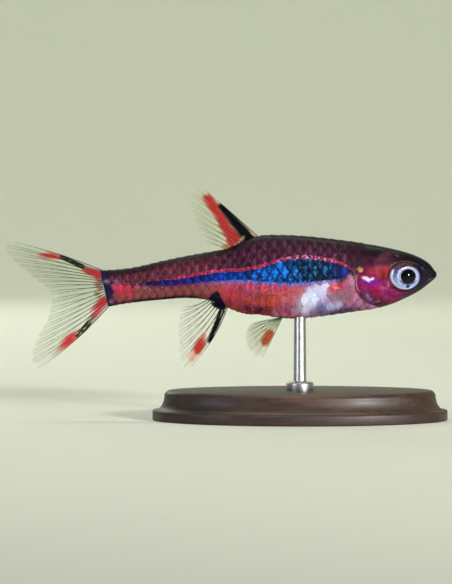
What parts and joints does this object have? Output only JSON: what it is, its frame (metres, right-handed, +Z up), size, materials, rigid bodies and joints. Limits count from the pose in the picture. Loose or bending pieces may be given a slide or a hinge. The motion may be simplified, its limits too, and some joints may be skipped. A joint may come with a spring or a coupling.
{
  "type": "chili rasbora",
  "caption": "Still, life-size model of a chili rasbora, a small slender aquarium fish with spread fins and a forked tail, held level on an oval stand by a rod.",
  "frame": {"origin": "middle of the stand base's flat underside, under the rod", "axes": "+X towards the fish's head, +Z up, -Y to the fish's right side"},
  "size_m": [0.0239, 0.01, 0.0126],
  "materials": {
    "fish_skin": "satin",
    "fish_eye": "gloss",
    "fin_web": "satin",
    "stand_wood": "satin",
    "stand_steel": "satin"
  },
  "bodies": {
    "root": {"head": "fish_skin", "trunk": "fish_skin", "tail_stalk": "fish_skin", "eye_right": "fish_eye", "eye_left": "fish_eye", "dorsal_fin": "fin_web", "anal_fin": "fin_web", "tail_fin_upper": "fin_web", "tail_fin_lower": "fin_web", "pectoral_fin_right": "fin_web", "pectoral_fin_left": "fin_web", "pelvic_fin_right": "fin_web", "pelvic_fin_left": "fin_web", "stand_base": "stand_wood", "stand_rod": "stand_steel"}
  },
  "joints": []
}
